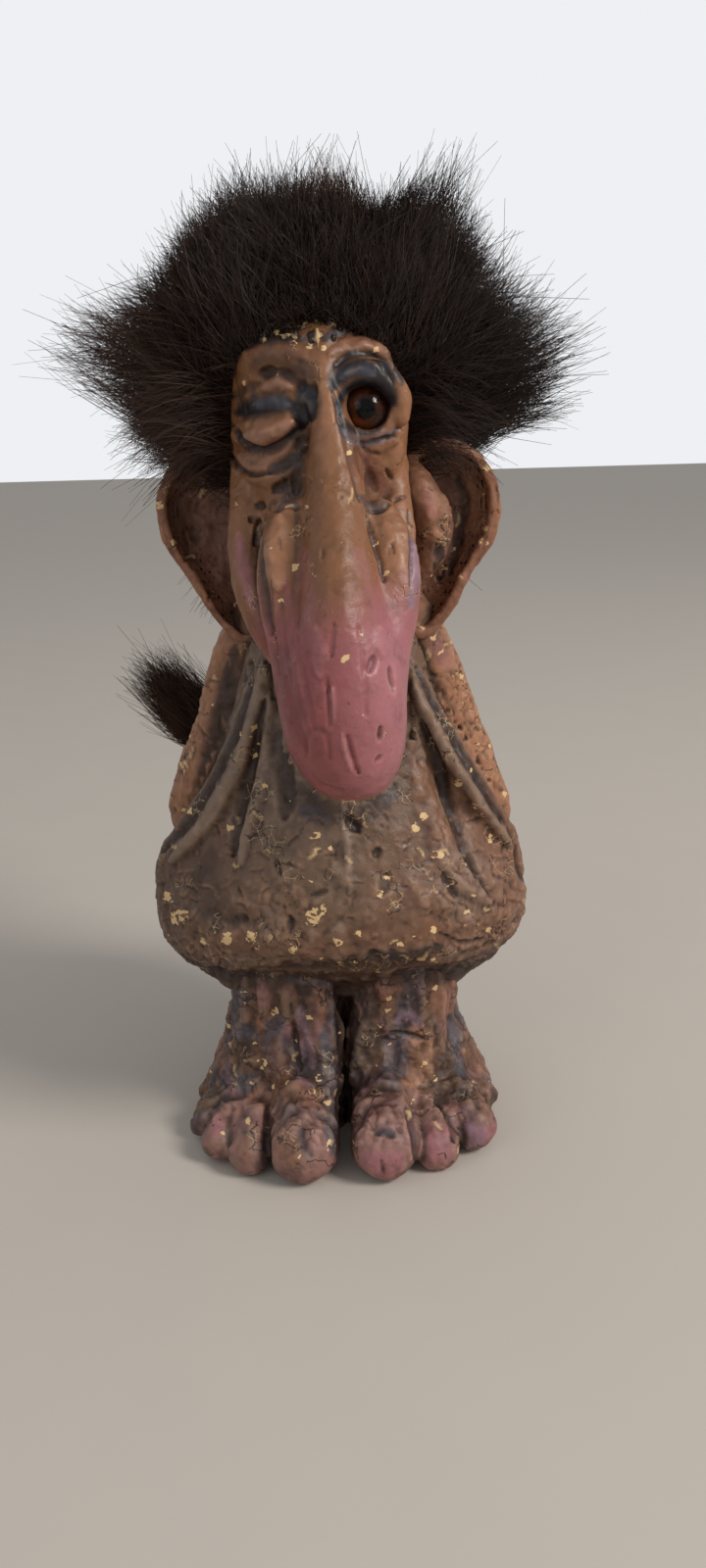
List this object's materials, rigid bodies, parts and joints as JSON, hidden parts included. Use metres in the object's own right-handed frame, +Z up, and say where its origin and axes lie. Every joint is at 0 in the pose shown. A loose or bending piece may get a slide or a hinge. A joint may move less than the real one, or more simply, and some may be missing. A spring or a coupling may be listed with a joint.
{
  "type": "norwegian troll figure",
  "caption": "Standing folk troll ornament with a long hanging nose, big ears, a wig of fur, hands clasped behind its back and a tufted tail that bends at its root.",
  "frame": {"origin": "on the table under the figure, midway between its feet and under the middle of its body", "axes": "+Z up; the face looks along -Y; +X is on the right of someone facing the figure"},
  "size_m": [0.1267, 0.1255, 0.234],
  "materials": {
    "skin": "hand painted, flaking",
    "filler": "rough pressed wood paste",
    "eye_glass": "polished",
    "iris": "gloss paint",
    "pupil": "gloss paint",
    "wire": "drawn",
    "hide": "suede",
    "fur": "long soft fur",
    "glue": "dried glue",
    "thread": "waxed thread",
    "plug": "matt"
  },
  "bodies": {
    "figure": {"body_casting": "skin", "legs_casting": "skin", "head_casting": "skin", "left_ear": "skin", "right_ear": "skin", "left_arm": "skin", "right_arm": "skin", "body_filler": "filler", "head_filler": "filler", "sole_plug": "plug", "eye_glass": "eye_glass", "eye_iris": "iris", "eye_pupil": "pupil", "eye_stem": "wire", "wig_hide": "hide", "fur_crown": "fur", "fur_left": "fur", "fur_right": "fur", "hairline_glue": "glue"},
    "tail": {"tail_casting": "skin", "tail_wire": "wire", "tail_tuft": "fur", "tail_binding": "thread"}
  },
  "joints": [
    {"name": "tail_bend", "type": "hinge", "parent": "figure", "child": "tail", "pos_m": [0, 0.03941, 0.046], "axis": [0, 0, 1], "range_deg": [-15, 15]}
  ]
}
